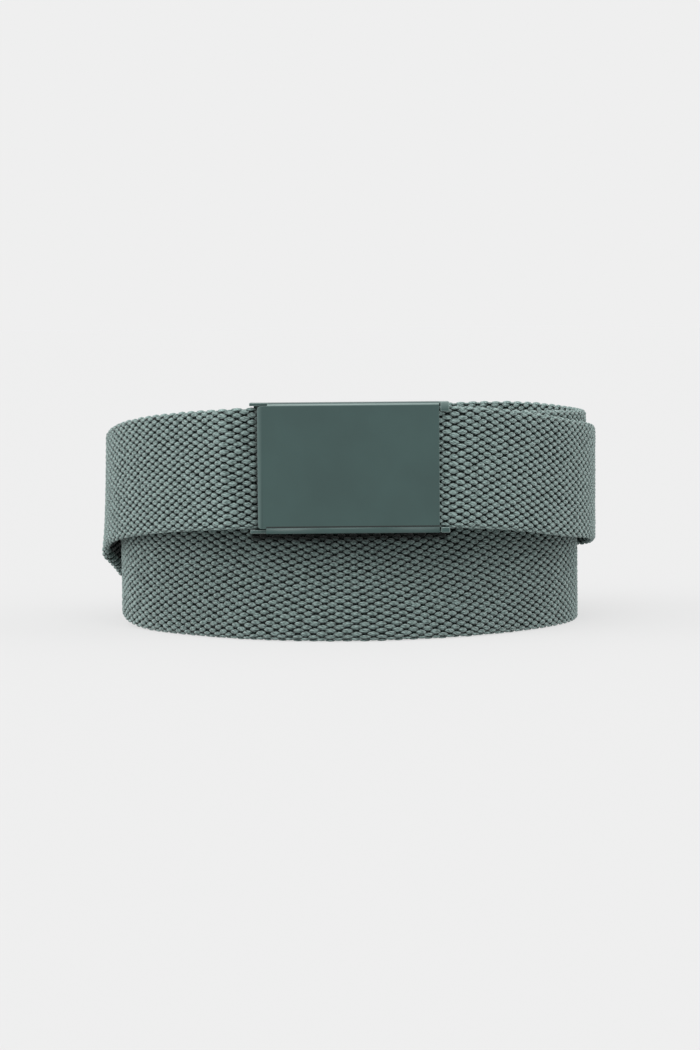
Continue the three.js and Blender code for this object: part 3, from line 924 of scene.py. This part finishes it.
def paint_material():
    """Satin paint, with a painted highlight where the mesh's number says and painted shade in the crease.
    """
    material, tree, shader = new_material("satin_paint")
    place = node(tree, "ShaderNodeTexCoord").outputs["Object"]
    cloud = noise(tree, CLOUDS_PER_METRE, place, detail=CLOUD_DETAIL)
    grain = noise(tree, GRAINS_PER_METRE, place)
    colour = ramp(tree, cloud, (DARK_CLOUD_UP_TO, PAINT_COLOUR), (PALE_CLOUD_FROM, PAINT_PALE))
    # Painted highlight mixed over the paint
    highlight_here = ramp(tree, reading(tree, "painted_highlight"), (0, BLACK), (1, (HIGHLIGHT_SHARE,) * 3))
    highlit = mixed(tree, "MIX", highlight_here, colour, HIGHLIGHT_COLOUR)
    # Painted shade in the crease, where the mesh marks it
    crease_shaded = mixed(tree, "MIX", reading(tree, "crease_shade"), highlit, CREASE_SHADE_COLOUR)
    tree.links.new(crease_shaded, shader.inputs["Base Color"])
    roughness = node(tree, "ShaderNodeMapRange")
    fill(roughness, {"To Min": LEAST_ROUGHNESS, "To Max": MOST_ROUGHNESS})
    tree.links.new(grain, roughness.inputs["Value"])
    tree.links.new(roughness.outputs["Result"], shader.inputs["Roughness"])
    tree.links.new(bumped(tree, grain, GRAIN_BUMP, GRAIN_DEPTH), shader.inputs["Normal"])
    return material


PAINT = paint_material()
print("the paint has", len(PAINT.node_tree.nodes), "nodes")

# %% [markdown]
# Now the plate and the frame get their paint. On the plate a thin pale line runs along the upper bend,
# between a darker top and the dark front, and the left side is a little pale over a millimetre and a half.
# The frame's upper right lug is paler too. All three are painted highlights, where these places catch the
# light. Painting these by hand would be quicker, but a rule by height and side is exact and lands in the
# same place on every run.

# %% Paint the plate and the frame
# Painted highlights: a line on the plate's upper bend, its left side and the frame's upper right lug
BEND_LINE_BELOW = 0.64 * MM
BEND_LINE_REACH = 0.45 * MM
SIDE_HIGHLIGHT = 0.25
SIDE_WIDTH = 0.6 * MM
SIDE_FADE = 1.5 * MM
LUG_HIGHLIGHT = 0.5
LUG_HEIGHT = 1.5 * MM

plate_low, plate_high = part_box("face_plate")


def plate_highlight(place):
    """How much painted highlight the plate has at a place: along a line on its upper bend, and on its left
    side.
    """
    from_line = abs(place.z - (plate_high.z - BEND_LINE_BELOW))
    return max(1 - from_line / BEND_LINE_REACH, SIDE_HIGHLIGHT * (place.x < plate_low.x + SIDE_WIDTH))


def frame_highlight(place):
    """How much painted highlight the frame has at a place: on its upper right lug."""
    return LUG_HIGHLIGHT * (place.x > plate_high.x and place.z > plate_high.z - LUG_HEIGHT)


side_cut = ((plate_low.x + SIDE_FADE, 0, 0), (1, 0, 0))
bend_cut = ((0, 0, plate_high.z - BEND_LINE_BELOW - BEND_LINE_REACH), (0, 0, 1))
plate_mesh = rounded_copy("face_plate", plate_highlight, [side_cut, bend_cut])
frame_mesh = rounded_copy("buckle_frame", frame_highlight, [])
link_piece("plate", plate_mesh, PAINT, "painted_metal", "face_plate")
link_piece("frame", frame_mesh, PAINT, "painted_metal", "buckle_frame")
print("the plate has", len(plate_mesh.polygons), "faces, the frame", len(frame_mesh.polygons))

# %% [markdown]
# The plate's lower edge is folded back on itself. From the front the fold shows as a slim rounded lip with
# a fine dark crease above it. The crease is a narrow flat face, painted nearly black as painted shade in
# the fold. The lip stops short of the plate's left corner. In CAD it would be a bump of a few tenths of a
# millimetre, so it is made here: a flat half ellipse, drawn out along the edge.

# %% Fold the plate's lower lip
LIP_HALF_HEIGHT = 0.95 * MM
LIP_BULGE = 0.3 * MM
LIP_TOP_ANGLE = math.radians(70)
LIP_DEPTH = 0.8 * MM
LIP_LEFT_GAP = 2.5 * MM
LIP_ROWS = 12
CREASE_HEIGHT = 0.45 * MM
CREASE_FRONT = 0.01 * MM


def lip_mesh():
    """The folded lower lip of the plate, with its crease marked for painted shade."""
    middle = plate_low.z + LIP_HALF_HEIGHT
    section = []
    for k in range(LIP_ROWS + 1):
        angle = -math.pi / 2 + (LIP_TOP_ANGLE + math.pi / 2) * k / LIP_ROWS
        bulge, rise = LIP_BULGE * math.cos(angle), LIP_HALF_HEIGHT * math.sin(angle)
        section.append((plate_low.y - bulge, middle + rise))
    crease_front, crease_foot = plate_low.y - CREASE_FRONT, section[-1][1]
    section += [(crease_front, crease_foot), (crease_front, crease_foot + CREASE_HEIGHT)]
    section.append((plate_low.y + LIP_DEPTH, crease_foot + CREASE_HEIGHT))
    section.append((plate_low.y + LIP_DEPTH, middle - LIP_HALF_HEIGHT))
    each = len(section)
    ends = (plate_low.x + LIP_LEFT_GAP, plate_high.x)
    points = [(x, y, z) for x in ends for y, z in section]
    faces = [(k, k + each, (k + 1) % each + each, (k + 1) % each) for k in range(each)]
    faces += [tuple(range(each)), tuple(range(2 * each - 1, each - 1, -1))]
    mesh = bpy.data.meshes.new("plate_lip")
    mesh.from_pydata(points, [], faces)
    # Painted shade: the crease's rows are marked
    crease_shade = np.array([k > LIP_ROWS for k in range(each)] * 2)
    add_number(mesh, "crease_shade", crease_shade)
    for face in mesh.polygons[:LIP_ROWS]:
        face.use_smooth = True
    return mesh


link_piece("plate_lip", lip_mesh(), PAINT, "painted_metal", "face_plate")
print("the lip starts", round(LIP_LEFT_GAP / MM, 1), "mm from the plate's left edge")

# %% [markdown]
# Inside the buckle sit the pin that grips the web and the bar that holds its fixed end. They are plain
# bright steel, hardly seen, so they need no new shape. Their CAD meshes stay and only get a finish: metal
# whose grey varies in fine specks.

# %% Finish the hidden steel
STEEL_DARK = (0.36, 0.37, 0.36)
STEEL_LIGHT = (0.5, 0.51, 0.5)
STEEL_DARK_UP_TO, STEEL_LIGHT_FROM = 0.3, 0.7
SPECKS_PER_METRE = 2500
STEEL_FINISH = {"Metallic": 1, "Roughness": 0.38}


def steel_material():
    """Bright steel with fine specks."""
    material, tree, shader = new_material("bare_steel")
    place = node(tree, "ShaderNodeTexCoord").outputs["Object"]
    stops = (STEEL_DARK_UP_TO, STEEL_DARK), (STEEL_LIGHT_FROM, STEEL_LIGHT)
    tree.links.new(ramp(tree, noise(tree, SPECKS_PER_METRE, place), *stops), shader.inputs["Base Color"])
    fill(shader, STEEL_FINISH)
    return material


STEEL = steel_material()
for name in ("lock_pin", "clamp_bar"):
    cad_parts[name].data.materials.clear()
    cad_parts[name].data.materials.append(STEEL)
print("steel on the pin and the bar")

# %% [markdown]
# The ground is matt white acrylic that glows a little. An image of real acrylic would hardly show at this
# brightness, so a plain shader is enough. Its grey only drifts by the faintest amount.

# %% Colour the ground
GREY_DRIFT = 0.004
DRIFTS_ACROSS = 3
GROUND_FINISH = {"Roughness": 1, "Specular IOR Level": 0, "Emission Color": (1, 1, 1, 1)}


def ground_material():
    """Matt white with a glow that makes up for part of the light."""
    material, tree, shader = new_material("pale_acrylic")
    low, high = GROUND_GREY - GREY_DRIFT, GROUND_GREY + GREY_DRIFT
    colour = ramp(tree, noise(tree, DRIFTS_ACROSS), (0, (low, low, low)), (1, (high, high, high)))
    tree.links.new(colour, shader.inputs["Base Color"])
    fill(shader, GROUND_FINISH)
    shader.inputs["Emission Strength"].default_value = GLOW_SHARE * SKY_BRIGHTNESS
    return material


ground.data.materials.append(ground_material())
print("the ground glows with", round(GLOW_SHARE * SKY_BRIGHTNESS, 3))
